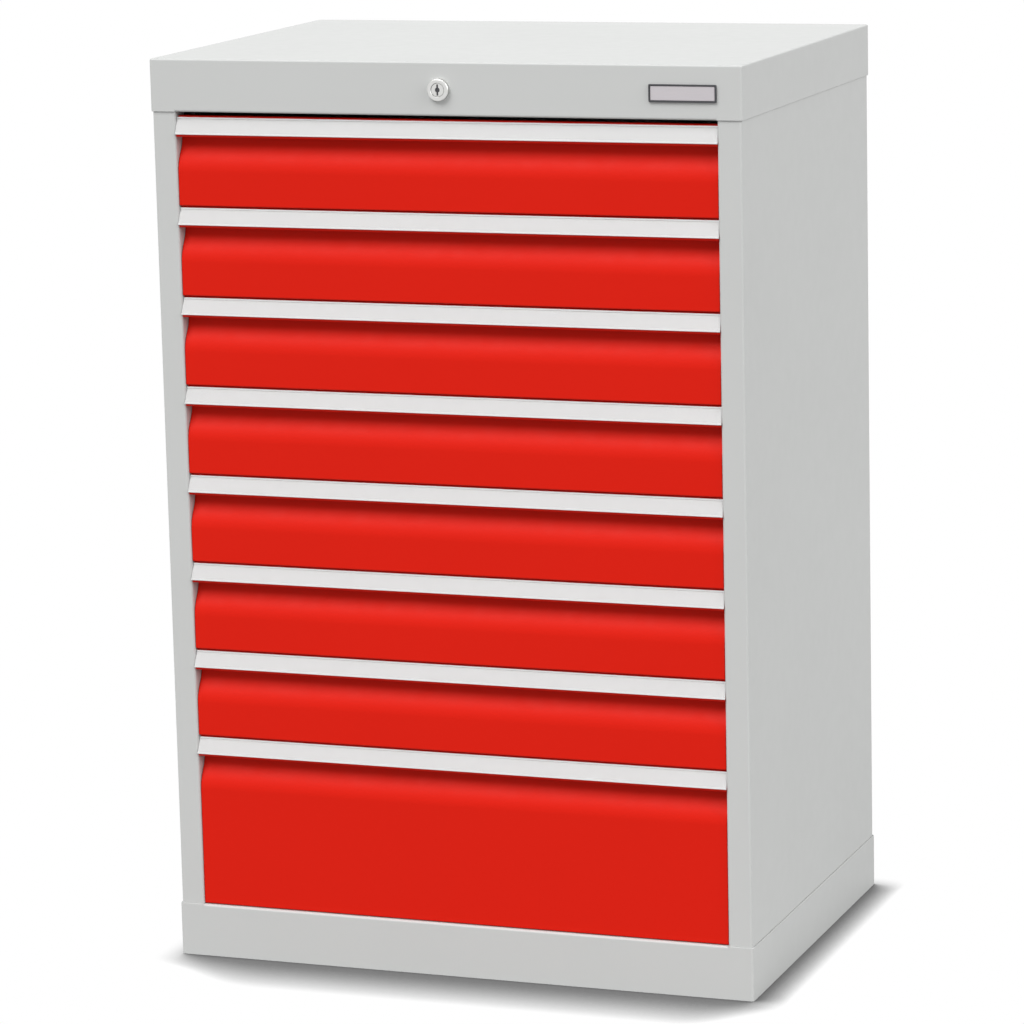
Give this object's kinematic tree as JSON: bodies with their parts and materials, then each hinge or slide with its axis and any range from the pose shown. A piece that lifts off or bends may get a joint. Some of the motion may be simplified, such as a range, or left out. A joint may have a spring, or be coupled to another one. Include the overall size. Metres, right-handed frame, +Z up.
{
  "type": "tap and die storage drawer cabinet",
  "caption": "Sheet-steel tool drawer cabinet: grey carcass, red drawers with full-width slanted label grips on telescopic runners, and a central lock that catches every drawer.",
  "frame": {"origin": "on the floor under the middle of the cabinet, its projecting grips included", "axes": "+X to the right seen from the front, +Y from the drawer fronts to the back, +Z up"},
  "size_m": [0.68, 0.4964, 1.019],
  "materials": {
    "grey_paint": "light grey powder coat, satin, fine texture",
    "red_paint": "signal red powder coat, satin",
    "zinc_plate": "zinc-plated sheet steel, dull sheen",
    "strip_white": "white extruded label channel",
    "nickel": "nickel-plated, polished",
    "dark_trim": "dark grey moulded frame",
    "plate_silver": "satin anodised, bare",
    "label_card": "blank label card",
    "clear_cover": "clear plastic cover over the label card",
    "rubber": "black bumper",
    "bright_steel": "polished bearing balls and rivet heads"
  },
  "bodies": {
    "carcass": {"top_cover": "grey_paint", "plinth_base": "grey_paint", "floor_pan": "grey_paint", "side_panel_left": "grey_paint", "side_panel_right": "grey_paint", "back_panel": "grey_paint", "runner_rack_left": "zinc_plate", "runner_rack_right": "zinc_plate", "lock_housing": "nickel", "lock_nut": "nickel", "lock_shaft_bracket": "zinc_plate", "lock_bar_guide_upper": "zinc_plate", "lock_bar_guide_lower": "zinc_plate", "name_plate_holder": "dark_trim", "name_plate": "plate_silver"},
    "drawer_1": {"drawer_tray_1": "zinc_plate", "drawer_front_1": "red_paint", "label_strip_1": "strip_white"},
    "runner_left_1": {"runner_middle_left_1": "zinc_plate"},
    "runner_right_1": {"runner_middle_right_1": "zinc_plate"},
    "drawer_2": {"drawer_tray_2": "zinc_plate", "drawer_front_2": "red_paint", "label_strip_2": "strip_white"},
    "runner_left_2": {"runner_middle_left_2": "zinc_plate"},
    "runner_right_2": {"runner_middle_right_2": "zinc_plate"},
    "drawer_3": {"drawer_tray_3": "zinc_plate", "drawer_front_3": "red_paint", "label_strip_3": "strip_white"},
    "runner_left_3": {"runner_middle_left_3": "zinc_plate"},
    "runner_right_3": {"runner_middle_right_3": "zinc_plate"},
    "drawer_4": {"drawer_tray_4": "zinc_plate", "drawer_front_4": "red_paint", "label_strip_4": "strip_white"},
    "runner_left_4": {"runner_middle_left_4": "zinc_plate"},
    "runner_right_4": {"runner_middle_right_4": "zinc_plate"},
    "drawer_5": {"drawer_tray_5": "zinc_plate", "drawer_front_5": "red_paint", "label_strip_5": "strip_white"},
    "runner_left_5": {"runner_middle_left_5": "zinc_plate"},
    "runner_right_5": {"runner_middle_right_5": "zinc_plate"},
    "drawer_6": {"drawer_tray_6": "zinc_plate", "drawer_front_6": "red_paint", "label_strip_6": "strip_white"},
    "runner_left_6": {"runner_middle_left_6": "zinc_plate"},
    "runner_right_6": {"runner_middle_right_6": "zinc_plate"},
    "drawer_7": {"drawer_tray_7": "zinc_plate", "drawer_front_7": "red_paint", "label_strip_7": "strip_white"},
    "runner_left_7": {"runner_middle_left_7": "zinc_plate"},
    "runner_right_7": {"runner_middle_right_7": "zinc_plate"},
    "drawer_8": {"drawer_tray_8": "zinc_plate", "drawer_front_8": "red_paint", "label_strip_8": "strip_white"},
    "runner_left_8": {"runner_middle_left_8": "zinc_plate"},
    "runner_right_8": {"runner_middle_right_8": "zinc_plate"},
    "lock_cylinder": {"lock_plug": "nickel", "lock_shaft": "zinc_plate"},
    "lock_bar": {"lock_bar": "zinc_plate"}
  },
  "joints": [
    {"name": "drawer_slide_1", "type": "slide", "parent": "carcass", "child": "drawer_1", "axis": [0, -1, 0], "range_m": [0, 0.4]},
    {"name": "runner_left_slide_1", "type": "slide", "parent": "carcass", "child": "runner_left_1", "axis": [0, -1, 0], "range_m": [0, 0.2]},
    {"name": "runner_right_slide_1", "type": "slide", "parent": "carcass", "child": "runner_right_1", "axis": [0, -1, 0], "range_m": [0, 0.2]},
    {"name": "drawer_slide_2", "type": "slide", "parent": "carcass", "child": "drawer_2", "axis": [0, -1, 0], "range_m": [0, 0.4]},
    {"name": "runner_left_slide_2", "type": "slide", "parent": "carcass", "child": "runner_left_2", "axis": [0, -1, 0], "range_m": [0, 0.2]},
    {"name": "runner_right_slide_2", "type": "slide", "parent": "carcass", "child": "runner_right_2", "axis": [0, -1, 0], "range_m": [0, 0.2]},
    {"name": "drawer_slide_3", "type": "slide", "parent": "carcass", "child": "drawer_3", "axis": [0, -1, 0], "range_m": [0, 0.4]},
    {"name": "runner_left_slide_3", "type": "slide", "parent": "carcass", "child": "runner_left_3", "axis": [0, -1, 0], "range_m": [0, 0.2]},
    {"name": "runner_right_slide_3", "type": "slide", "parent": "carcass", "child": "runner_right_3", "axis": [0, -1, 0], "range_m": [0, 0.2]},
    {"name": "drawer_slide_4", "type": "slide", "parent": "carcass", "child": "drawer_4", "axis": [0, -1, 0], "range_m": [0, 0.4]},
    {"name": "runner_left_slide_4", "type": "slide", "parent": "carcass", "child": "runner_left_4", "axis": [0, -1, 0], "range_m": [0, 0.2]},
    {"name": "runner_right_slide_4", "type": "slide", "parent": "carcass", "child": "runner_right_4", "axis": [0, -1, 0], "range_m": [0, 0.2]},
    {"name": "drawer_slide_5", "type": "slide", "parent": "carcass", "child": "drawer_5", "axis": [0, -1, 0], "range_m": [0, 0.4]},
    {"name": "runner_left_slide_5", "type": "slide", "parent": "carcass", "child": "runner_left_5", "axis": [0, -1, 0], "range_m": [0, 0.2]},
    {"name": "runner_right_slide_5", "type": "slide", "parent": "carcass", "child": "runner_right_5", "axis": [0, -1, 0], "range_m": [0, 0.2]},
    {"name": "drawer_slide_6", "type": "slide", "parent": "carcass", "child": "drawer_6", "axis": [0, -1, 0], "range_m": [0, 0.4]},
    {"name": "runner_left_slide_6", "type": "slide", "parent": "carcass", "child": "runner_left_6", "axis": [0, -1, 0], "range_m": [0, 0.2]},
    {"name": "runner_right_slide_6", "type": "slide", "parent": "carcass", "child": "runner_right_6", "axis": [0, -1, 0], "range_m": [0, 0.2]},
    {"name": "drawer_slide_7", "type": "slide", "parent": "carcass", "child": "drawer_7", "axis": [0, -1, 0], "range_m": [0, 0.4]},
    {"name": "runner_left_slide_7", "type": "slide", "parent": "carcass", "child": "runner_left_7", "axis": [0, -1, 0], "range_m": [0, 0.2]},
    {"name": "runner_right_slide_7", "type": "slide", "parent": "carcass", "child": "runner_right_7", "axis": [0, -1, 0], "range_m": [0, 0.2]},
    {"name": "drawer_slide_8", "type": "slide", "parent": "carcass", "child": "drawer_8", "axis": [0, -1, 0], "range_m": [0, 0.4]},
    {"name": "runner_left_slide_8", "type": "slide", "parent": "carcass", "child": "runner_left_8", "axis": [0, -1, 0], "range_m": [0, 0.2]},
    {"name": "runner_right_slide_8", "type": "slide", "parent": "carcass", "child": "runner_right_8", "axis": [0, -1, 0], "range_m": [0, 0.2]},
    {"name": "lock_turn", "type": "hinge", "parent": "carcass", "child": "lock_cylinder", "pos_m": [0, -0.24, 0.9895], "axis": [0, 1, 0], "range_deg": [0, 90]},
    {"name": "lock_bar_slide", "type": "slide", "parent": "carcass", "child": "lock_bar", "axis": [0, 0, -1], "range_m": [0, 0.01414]}
  ],
  "couplings": [
    {"joint": "runner_left_slide_1", "follows": "drawer_slide_1", "ratio": 0.5},
    {"joint": "runner_right_slide_1", "follows": "drawer_slide_1", "ratio": 0.5},
    {"joint": "runner_left_slide_2", "follows": "drawer_slide_2", "ratio": 0.5},
    {"joint": "runner_right_slide_2", "follows": "drawer_slide_2", "ratio": 0.5},
    {"joint": "runner_left_slide_3", "follows": "drawer_slide_3", "ratio": 0.5},
    {"joint": "runner_right_slide_3", "follows": "drawer_slide_3", "ratio": 0.5},
    {"joint": "runner_left_slide_4", "follows": "drawer_slide_4", "ratio": 0.5},
    {"joint": "runner_right_slide_4", "follows": "drawer_slide_4", "ratio": 0.5},
    {"joint": "runner_left_slide_5", "follows": "drawer_slide_5", "ratio": 0.5},
    {"joint": "runner_right_slide_5", "follows": "drawer_slide_5", "ratio": 0.5},
    {"joint": "runner_left_slide_6", "follows": "drawer_slide_6", "ratio": 0.5},
    {"joint": "runner_right_slide_6", "follows": "drawer_slide_6", "ratio": 0.5},
    {"joint": "runner_left_slide_7", "follows": "drawer_slide_7", "ratio": 0.5},
    {"joint": "runner_right_slide_7", "follows": "drawer_slide_7", "ratio": 0.5},
    {"joint": "runner_left_slide_8", "follows": "drawer_slide_8", "ratio": 0.5},
    {"joint": "runner_right_slide_8", "follows": "drawer_slide_8", "ratio": 0.5},
    {"joint": "lock_turn", "follows": "lock_bar_slide", "rad_per_m": 111.07}
  ]
}
